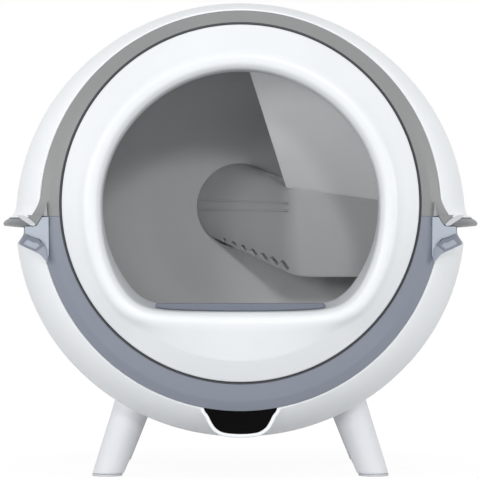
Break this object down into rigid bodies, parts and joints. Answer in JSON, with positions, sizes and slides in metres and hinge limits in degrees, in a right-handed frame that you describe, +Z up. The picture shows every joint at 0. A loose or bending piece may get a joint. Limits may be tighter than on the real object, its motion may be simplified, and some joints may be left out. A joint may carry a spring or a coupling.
{
  "type": "self cleaning litter box",
  "caption": "Ball-shaped motorised litter box on splayed legs, with a turning drum behind a D-shaped entry, a scoop, a rear waste port and a pull-out waste drawer.",
  "frame": {"origin": "on the floor, under the middle of the overall box", "axes": "+X to the viewer's right of the front, +Y to the rear along the axis of the drum, +Z up; the entry faces -Y"},
  "size_m": [0.56, 0.5, 0.5531],
  "materials": {
    "white_plastic": "satin moulded plastic",
    "ring_plastic": "satin moulded plastic",
    "grey_plastic": "fine satin moulded plastic",
    "blue_grey_plastic": "fine satin moulded plastic",
    "drum_grey": "matte moulded plastic",
    "light_grey_plastic": "matte moulded plastic",
    "liner_grey": "matte moulded plastic",
    "black_gloss": "polished",
    "board_green": "solder mask",
    "dark_rubber": "matte",
    "pad_rubber": "matte",
    "nylon": "natural nylon",
    "motor_steel": "drawn steel can",
    "zinc_steel": "zinc plated sheet",
    "shaft_steel": "ground"
  },
  "bodies": {
    "base": {"base_shell": "white_plastic", "base_front_trim": "blue_grey_plastic", "base_rim_left": "blue_grey_plastic", "base_rim_right": "blue_grey_plastic", "display_panel": "black_gloss", "control_board": "board_green", "dc_inlet": "dark_rubber", "rear_bulkhead": "drum_grey", "bin_shelf": "drum_grey", "gearbox": "nylon", "gear_motor": "motor_steel", "motor_bracket": "zinc_steel", "leg_front_left": "white_plastic", "foot_pad_front_left": "pad_rubber", "roller_axle_front_left": "shaft_steel", "roller_bracket_front_left": "zinc_steel", "leg_front_right": "white_plastic", "foot_pad_front_right": "pad_rubber", "roller_axle_front_right": "shaft_steel", "roller_bracket_front_right": "zinc_steel", "leg_rear_left": "white_plastic", "foot_pad_rear_left": "pad_rubber", "roller_axle_rear_left": "shaft_steel", "roller_bracket_rear_left": "zinc_steel", "leg_rear_right": "white_plastic", "foot_pad_rear_right": "pad_rubber", "roller_axle_rear_right": "shaft_steel", "roller_bracket_rear_right": "zinc_steel"},
    "cover": {"upper_cover": "white_plastic", "cover_front_trim": "grey_plastic", "cover_brim_left": "grey_plastic", "cover_brim_right": "grey_plastic"},
    "drum": {"drum_front_ring": "ring_plastic", "entry_sleeve": "liner_grey", "litter_sill": "blue_grey_plastic", "drum_front_shell": "drum_grey", "drum_rear_shell": "drum_grey", "ring_gear": "nylon", "scoop": "light_grey_plastic", "baffle": "light_grey_plastic", "sieve_grid": "light_grey_plastic", "port_collar": "drum_grey"},
    "pinion": {"drive_pinion": "nylon", "output_shaft": "shaft_steel"},
    "bin": {"waste_bin": "liner_grey", "bin_fascia": "white_plastic", "bin_handle": "blue_grey_plastic"},
    "roller_front_left_body": {"roller_front_left": "dark_rubber"},
    "roller_front_right_body": {"roller_front_right": "dark_rubber"},
    "roller_rear_left_body": {"roller_rear_left": "dark_rubber"},
    "roller_rear_right_body": {"roller_rear_right": "dark_rubber"}
  },
  "joints": [
    {"name": "cover_lift", "type": "slide", "parent": "base", "child": "cover", "axis": [0, 0, 1], "range_m": [0, 0.26]},
    {"name": "drum_spin", "type": "hinge", "parent": "base", "child": "drum", "pos_m": [0, 0, 0.3177], "axis": [0, 1, 0], "continuous": true},
    {"name": "pinion_spin", "type": "hinge", "parent": "base", "child": "pinion", "pos_m": [-0.1187, 0.078, 0.12774], "axis": [0, 1, 0], "continuous": true},
    {"name": "bin_slide", "type": "slide", "parent": "base", "child": "bin", "axis": [0, 1, 0], "range_m": [0, 0.14]},
    {"name": "roller_front_left_spin", "type": "hinge", "parent": "base", "child": "roller_front_left_body", "pos_m": [-0.1178, -0.1725, 0.12918], "axis": [0, 1, 0], "continuous": true},
    {"name": "roller_front_right_spin", "type": "hinge", "parent": "base", "child": "roller_front_right_body", "pos_m": [0.1178, -0.1725, 0.12918], "axis": [0, 1, 0], "continuous": true},
    {"name": "roller_rear_left_spin", "type": "hinge", "parent": "base", "child": "roller_rear_left_body", "pos_m": [-0.11939, 0.043, 0.12663], "axis": [0, 1, 0], "continuous": true},
    {"name": "roller_rear_right_spin", "type": "hinge", "parent": "base", "child": "roller_rear_right_body", "pos_m": [0.11939, 0.043, 0.12663], "axis": [0, 1, 0], "continuous": true}
  ],
  "couplings": [
    {"joint": "pinion_spin", "follows": "drum_spin", "ratio": -8.3333},
    {"joint": "roller_front_left_spin", "follows": "drum_spin", "ratio": -12.875},
    {"joint": "roller_front_right_spin", "follows": "drum_spin", "ratio": -12.875},
    {"joint": "roller_rear_left_spin", "follows": "drum_spin", "ratio": -13.062},
    {"joint": "roller_rear_right_spin", "follows": "drum_spin", "ratio": -13.062}
  ]
}
